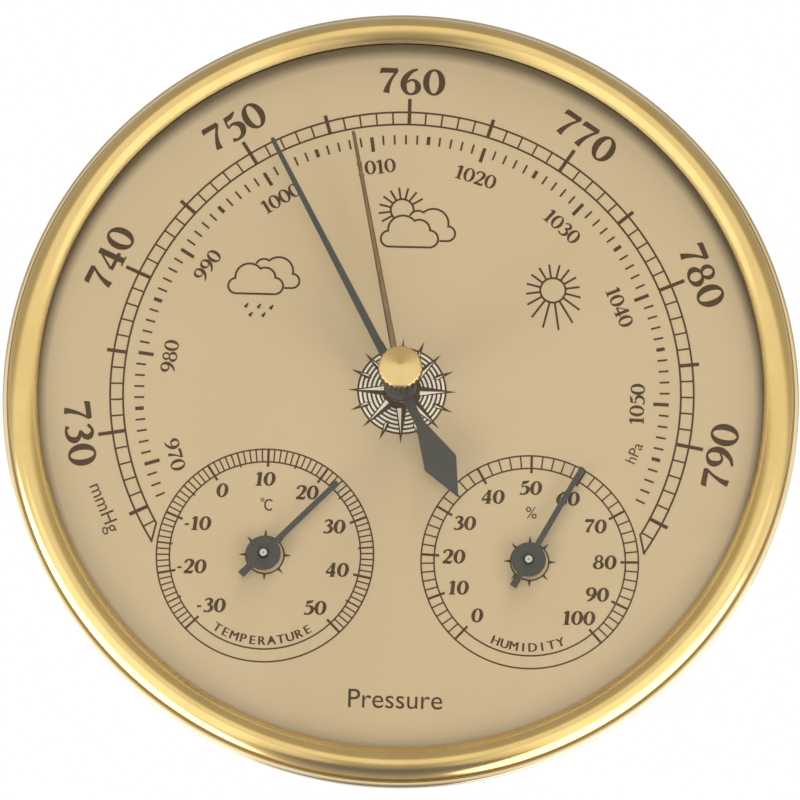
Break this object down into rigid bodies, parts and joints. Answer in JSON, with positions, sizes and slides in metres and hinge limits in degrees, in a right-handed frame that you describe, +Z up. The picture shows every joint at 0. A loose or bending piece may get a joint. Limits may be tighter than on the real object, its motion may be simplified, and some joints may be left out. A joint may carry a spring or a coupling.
{
  "type": "analog weather station",
  "caption": "Round wall-hung analog weather station: aneroid barometer dial with a set hand, small thermometer and hygrometer dials, domed glass, gold bezel and black pot case.",
  "frame": {"origin": "centre of the flat back of the case, which lies against the wall, on the axis of the main dial", "axes": "+X to the right of the dial seen from the front, +Y from the dial into the wall, +Z up"},
  "size_m": [0.1286, 0.0413, 0.1286],
  "materials": {
    "gold_bezel": "gold anodised, satin turned",
    "brass": "turned and lacquered",
    "steel": "plated",
    "bimetal": "rolled strip",
    "case_plastic": "fine moulded texture",
    "rubber": "moulded",
    "nylon": "moulded black",
    "glass": "clear, domed",
    "dial": "champagne lacquer with a fine metallic grain",
    "hand_black": "semi-matt black",
    "humidity_strip": "coated strip"
  },
  "bodies": {
    "case": {"rear_case": "case_plastic", "dial_plate": "dial", "lens_seal": "rubber", "lens": "glass", "bezel": "gold_bezel", "movement_base": "steel", "movement_screw_1": "steel", "movement_screw_2": "steel", "movement_screw_3": "steel", "aneroid_capsule": "brass", "pivot_bracket_left": "steel", "pivot_bracket_right": "steel", "bracket_screw_left": "steel", "bracket_screw_right": "steel", "lower_cock": "brass", "top_bridge": "brass", "pillar_1": "brass", "pillar_2": "brass", "bridge_screw_1": "steel", "bridge_screw_2": "steel", "hairspring": "bimetal", "hairspring_stud": "brass", "lens_bush": "nylon", "thermometer_frame": "steel", "thermometer_eyelet": "brass", "thermometer_coil": "bimetal", "hygrometer_frame": "steel", "hygrometer_eyelet": "brass", "hygrometer_coil": "humidity_strip"},
    "sector": {"sector_gear": "brass", "sector_arbor": "steel", "sector_crank_pin": "steel"},
    "pressure_pointer": {"pointer_arbor": "steel", "pinion": "brass", "hairspring_collet": "brass", "pressure_hand_collet": "brass", "pressure_hand": "hand_black"},
    "link": {"sector_link": "steel"},
    "rocker": {"rocking_shaft": "steel", "capsule_arm": "brass", "link_crank": "brass"},
    "capsule_post": {"capsule_post": "steel"},
    "set_pointer": {"setting_knob": "brass", "friction_washer": "steel", "setting_spindle": "nylon", "set_hand": "brass"},
    "temperature_pointer": {"thermometer_arbor": "brass", "thermometer_hand_collet": "hand_black", "thermometer_hand": "hand_black"},
    "humidity_pointer": {"hygrometer_arbor": "brass", "hygrometer_hand_collet": "hand_black", "hygrometer_hand": "hand_black"},
    "adjuster": {"adjusting_screw": "brass"}
  },
  "joints": [
    {"name": "pressure_turn", "type": "hinge", "parent": "case", "child": "pressure_pointer", "pos_m": [0, -0.02764, 0], "axis": [0, 1, 0], "range_deg": [-95.1, 151.5], "stiffness_Nm_per_rad": 0.0003, "deforming": ["hairspring"]},
    {"name": "sector_swing", "type": "hinge", "parent": "case", "child": "sector", "pos_m": [-0.01591, -0.01908, 0.01591], "axis": [0, 1, 0], "range_deg": [-10.83, 6.8]},
    {"name": "link_pivot", "type": "hinge", "parent": "sector", "child": "link", "pos_m": [-0.01311, -0.01788, 0.01591], "axis": [0, 1, 0], "range_deg": [-6.8, 10.83]},
    {"name": "rocker_rock", "type": "hinge", "parent": "case", "child": "rocker", "pos_m": [0, -0.01318, -0.003], "axis": [1, 0, 0], "range_deg": [-6.45, 4.05]},
    {"name": "capsule_breathe", "type": "slide", "parent": "case", "child": "capsule_post", "axis": [0, 1, 0], "range_m": [-0.000212, 0.000338], "deforming": ["aneroid_capsule"]},
    {"name": "set_turn", "type": "hinge", "parent": "case", "child": "set_pointer", "pos_m": [0, -0.0375, 0], "axis": [0, 1, 0], "continuous": true},
    {"name": "temperature_turn", "type": "hinge", "parent": "case", "child": "temperature_pointer", "pos_m": [-0.02112, -0.02594, -0.02755], "axis": [0, 1, 0], "range_deg": [-179, 91], "stiffness_Nm_per_rad": 0.0002, "deforming": ["thermometer_coil"]},
    {"name": "humidity_turn", "type": "hinge", "parent": "case", "child": "humidity_pointer", "pos_m": [0.02112, -0.02594, -0.02755], "axis": [0, 1, 0], "range_deg": [-166.6, 109], "stiffness_Nm_per_rad": 0.0002, "deforming": ["hygrometer_coil"]},
    {"name": "adjuster_turn", "type": "hinge", "parent": "case", "child": "adjuster", "pos_m": [0, -0.0003, -0.022], "axis": [0, 1, 0], "range_deg": [-360, 360]}
  ],
  "couplings": [
    {"joint": "sector_swing", "follows": "pressure_turn", "ratio": -0.071429},
    {"joint": "link_pivot", "follows": "pressure_turn", "ratio": 0.071429},
    {"joint": "rocker_rock", "follows": "pressure_turn", "ratio": -0.042553},
    {"joint": "capsule_breathe", "follows": "pressure_turn", "m_per_rad": 0.00012766}
  ]
}
